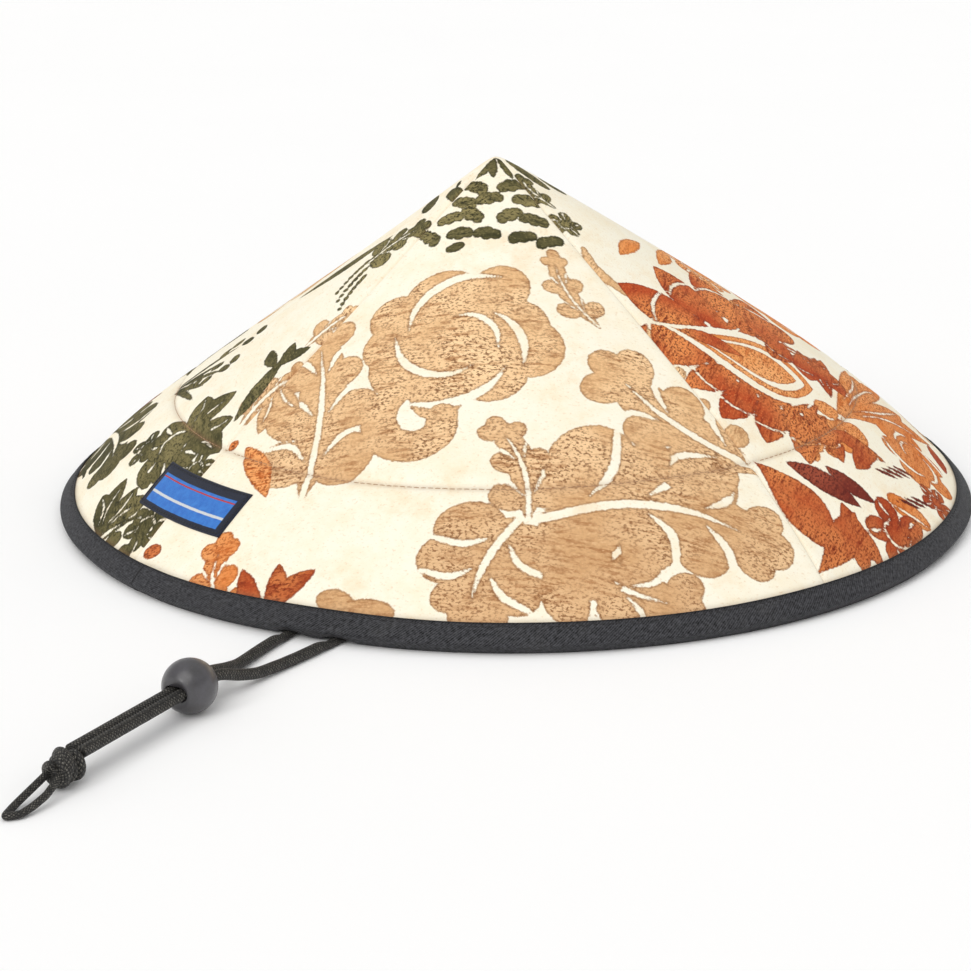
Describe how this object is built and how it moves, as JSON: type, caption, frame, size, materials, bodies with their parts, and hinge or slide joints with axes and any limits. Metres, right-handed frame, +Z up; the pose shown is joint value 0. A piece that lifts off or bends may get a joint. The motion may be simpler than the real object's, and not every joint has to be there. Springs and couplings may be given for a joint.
{
  "type": "conical hat",
  "caption": "Conical fabric sun hat with a foam core, bound rim, inner headband and a chin cord with a sliding bead.",
  "frame": {"origin": "middle of the circle that the rim stands on, at the table", "axes": "+Z up through the apex, the hat's axis of symmetry; the chin cord leaves under the rim towards -Y, and the label sits at 218 degrees round from +X"},
  "size_m": [0.4579, 0.6123, 0.171],
  "materials": {
    "printed_canvas": "printed plain-weave canvas",
    "foam": "closed-cell foam sheet",
    "lining": "plain woven polyester",
    "tape": "twill tape",
    "thread": "sewing thread",
    "woven_label": "woven patch",
    "webbing": "ribbed webbing",
    "elastic": "ribbed elastic",
    "terry": "terry towelling",
    "care_label": "satin ribbon",
    "braided_cord": "braided cord",
    "bead": "satin"
  },
  "bodies": {
    "hat": {"outer_front_gore": "printed_canvas", "outer_right_gore": "printed_canvas", "outer_back_gore": "printed_canvas", "outer_left_gore": "printed_canvas", "crown_foam": "foam", "brim_foam": "foam", "crown_lining": "lining", "brim_lining": "lining", "lining_seam_tapes": "tape", "edge_binding": "tape", "ring_stitching": "thread", "binding_stitching": "thread", "woven_label": "woven_label", "label_stitching": "thread", "headband_webbing": "webbing", "headband_elastic": "elastic", "sweatband": "terry", "headband_hangers": "webbing", "cord_anchor_left": "webbing", "cord_anchor_right": "webbing", "bar_tacks": "thread", "care_label": "care_label", "chin_cord_left": "braided_cord", "chin_cord_right": "braided_cord", "end_knot": "braided_cord", "end_loop": "braided_cord"},
    "bead": {"cord_bead": "bead"}
  },
  "joints": [
    {"name": "bead_slide", "type": "slide", "parent": "hat", "child": "bead", "axis": [-0.4848, -0.8746, 0], "range_m": [-0.004, 0.045]}
  ]
}
